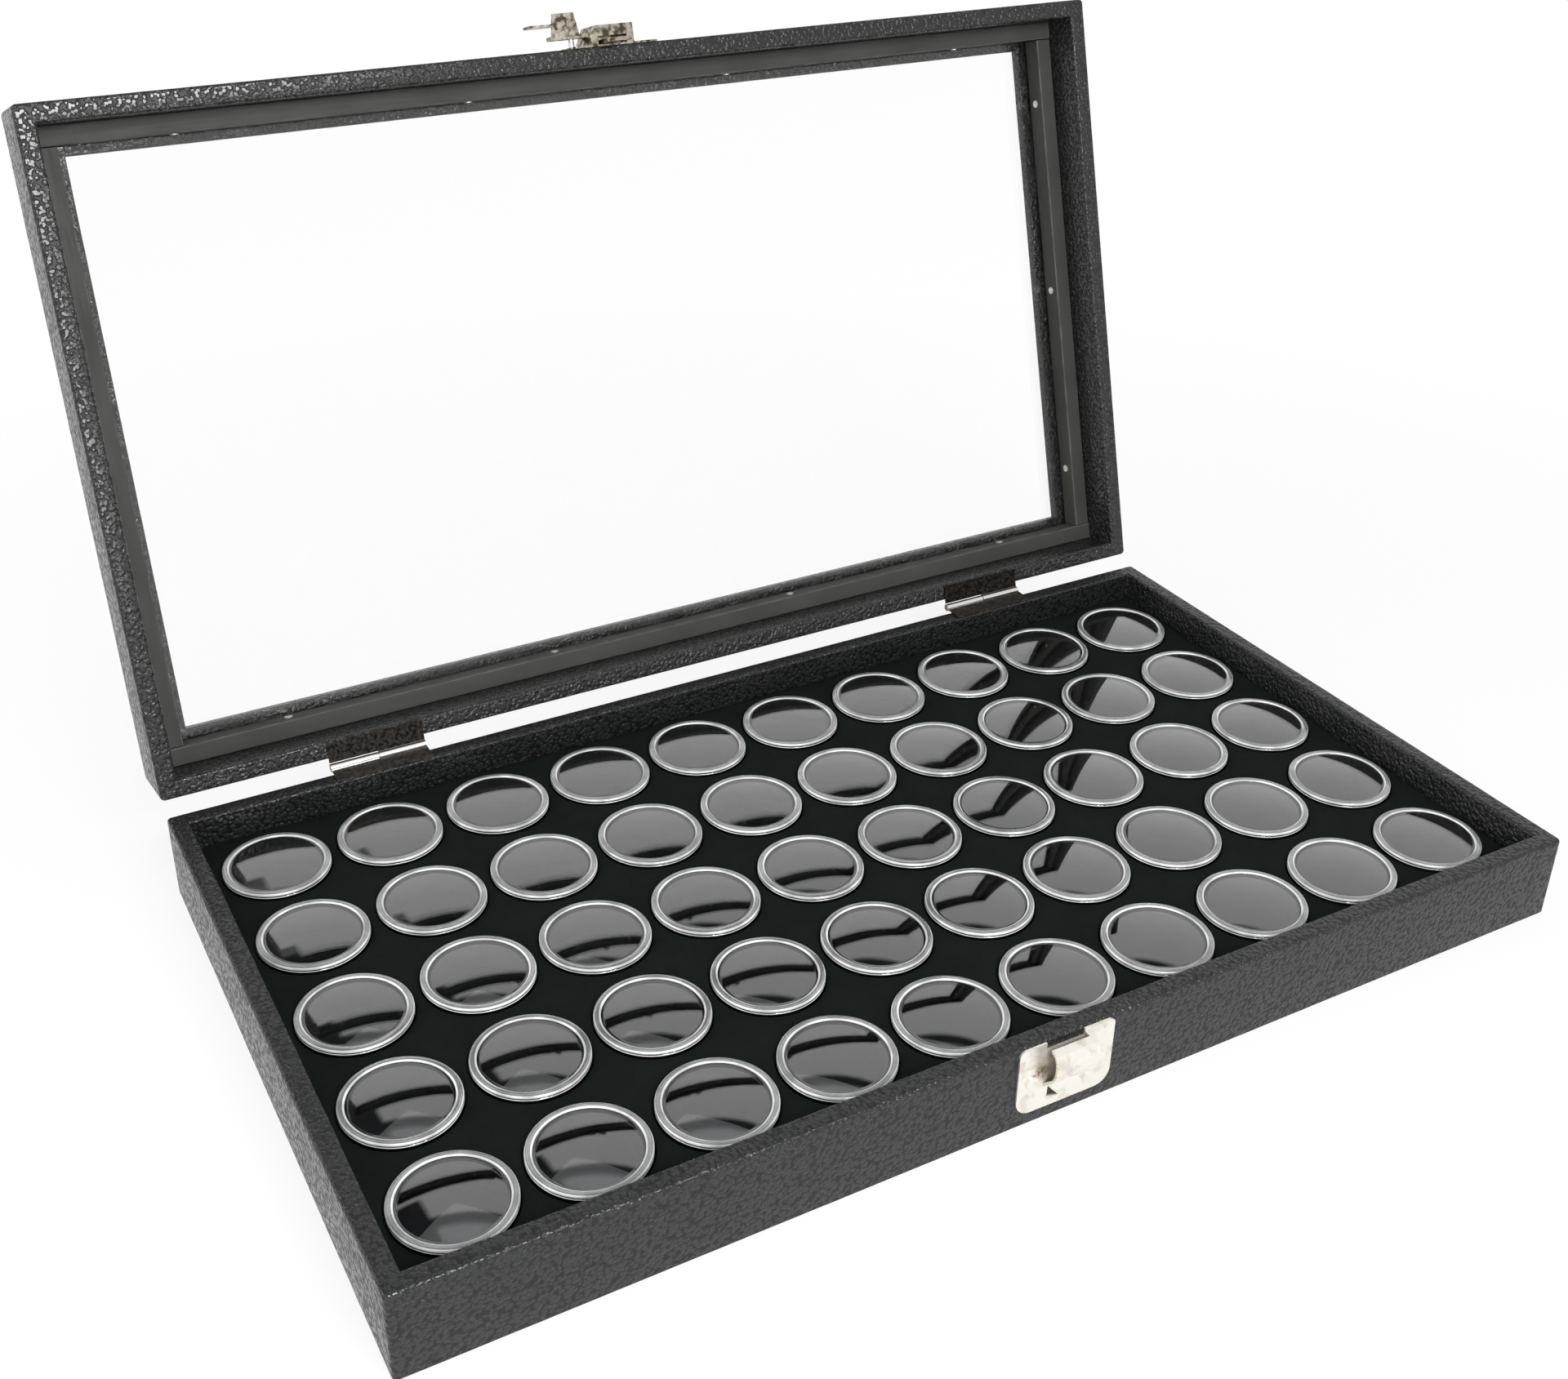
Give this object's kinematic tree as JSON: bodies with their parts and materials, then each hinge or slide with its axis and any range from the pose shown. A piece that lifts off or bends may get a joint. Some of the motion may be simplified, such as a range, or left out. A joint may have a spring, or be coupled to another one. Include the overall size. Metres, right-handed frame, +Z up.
{
  "type": "hinged display case",
  "caption": "Shallow hinged case with a glazed lid, a foam insert of round clear capsules, two butt hinges and a sliding front latch.",
  "frame": {"origin": "middle of the underside, on the surface that the case stands on", "axes": "+X along the hinge line to the right, +Y from the front to the hinges, +Z up"},
  "size_m": [0.375, 0.3047, 0.2429],
  "materials": {
    "leatherette": "embossed pebble grain, semi-matt",
    "wood_core": "plain, covered",
    "hardboard": "plain",
    "lining_paper": "matt",
    "black_foam": "fine open cell, matt",
    "clear_plastic": "clear, polished",
    "window_glass": "clear",
    "dark_strip": "satin",
    "steel": "dull",
    "nickel": "polished, slightly warm"
  },
  "bodies": {
    "case": {"bottom_panel": "hardboard", "underside_sheet": "lining_paper", "base_front_wall": "wood_core", "base_back_wall": "wood_core", "base_left_wall": "wood_core", "base_right_wall": "wood_core", "base_wrap": "leatherette", "left_hinge_base_leaf": "steel", "left_hinge_pin": "steel", "right_hinge_base_leaf": "steel", "right_hinge_pin": "steel", "base_hinge_brads": "steel", "catch_plate": "nickel", "catch_nails": "nickel"},
    "lid": {"lid_front_rail": "wood_core", "lid_back_rail": "wood_core", "lid_left_rail": "wood_core", "lid_right_rail": "wood_core", "lid_wrap": "leatherette", "lid_glass": "window_glass", "glass_strip_front": "dark_strip", "glass_strip_back": "dark_strip", "glass_strip_left": "dark_strip", "glass_strip_right": "dark_strip", "strip_brads": "steel", "left_hinge_lid_leaf": "steel", "right_hinge_lid_leaf": "steel", "lid_hinge_brads": "steel", "latch_plate": "nickel", "latch_nails": "nickel", "latch_rivet": "nickel"},
    "latch": {"latch_slider": "nickel"},
    "insert": {"foam_insert_left": "black_foam", "foam_insert_right": "black_foam"},
    "capsules_row_1": {"capsule_jars_row_1": "clear_plastic", "capsule_pads_row_1": "black_foam"},
    "capsules_row_2": {"capsule_jars_row_2": "clear_plastic", "capsule_pads_row_2": "black_foam"},
    "capsules_row_3": {"capsule_jars_row_3": "clear_plastic", "capsule_pads_row_3": "black_foam"},
    "capsules_row_4": {"capsule_jars_row_4": "clear_plastic", "capsule_pads_row_4": "black_foam"},
    "capsules_row_5": {"capsule_jars_row_5": "clear_plastic", "capsule_pads_row_5": "black_foam"},
    "caps_row_1": {"capsule_lids_row_1": "clear_plastic"},
    "caps_row_2": {"capsule_lids_row_2": "clear_plastic"},
    "caps_row_3": {"capsule_lids_row_3": "clear_plastic"},
    "caps_row_4": {"capsule_lids_row_4": "clear_plastic"},
    "caps_row_5": {"capsule_lids_row_5": "clear_plastic"}
  },
  "joints": [
    {"name": "lid_hinge", "type": "hinge", "parent": "case", "child": "lid", "pos_m": [0, 0.1079, 0.02845], "axis": [-1, 0, 0], "range_deg": [-106, 0]},
    {"name": "latch_slide", "type": "slide", "parent": "lid", "child": "latch", "axis": [-1, 0, 0], "range_m": [-0.0032, 0]},
    {"name": "insert_lift", "type": "slide", "parent": "case", "child": "insert", "axis": [0, 0, 1], "range_m": [0, 0.04]},
    {"name": "capsules_row_1_lift", "type": "slide", "parent": "insert", "child": "capsules_row_1", "axis": [0, 0, 1], "range_m": [0, 0.03]},
    {"name": "capsules_row_2_lift", "type": "slide", "parent": "insert", "child": "capsules_row_2", "axis": [0, 0, 1], "range_m": [0, 0.03]},
    {"name": "capsules_row_3_lift", "type": "slide", "parent": "insert", "child": "capsules_row_3", "axis": [0, 0, 1], "range_m": [0, 0.03]},
    {"name": "capsules_row_4_lift", "type": "slide", "parent": "insert", "child": "capsules_row_4", "axis": [0, 0, 1], "range_m": [0, 0.03]},
    {"name": "capsules_row_5_lift", "type": "slide", "parent": "insert", "child": "capsules_row_5", "axis": [0, 0, 1], "range_m": [0, 0.03]},
    {"name": "caps_row_1_lift", "type": "slide", "parent": "capsules_row_1", "child": "caps_row_1", "axis": [0, 0, 1], "range_m": [0, 0.02]},
    {"name": "caps_row_2_lift", "type": "slide", "parent": "capsules_row_2", "child": "caps_row_2", "axis": [0, 0, 1], "range_m": [0, 0.02]},
    {"name": "caps_row_3_lift", "type": "slide", "parent": "capsules_row_3", "child": "caps_row_3", "axis": [0, 0, 1], "range_m": [0, 0.02]},
    {"name": "caps_row_4_lift", "type": "slide", "parent": "capsules_row_4", "child": "caps_row_4", "axis": [0, 0, 1], "range_m": [0, 0.02]},
    {"name": "caps_row_5_lift", "type": "slide", "parent": "capsules_row_5", "child": "caps_row_5", "axis": [0, 0, 1], "range_m": [0, 0.02]}
  ]
}
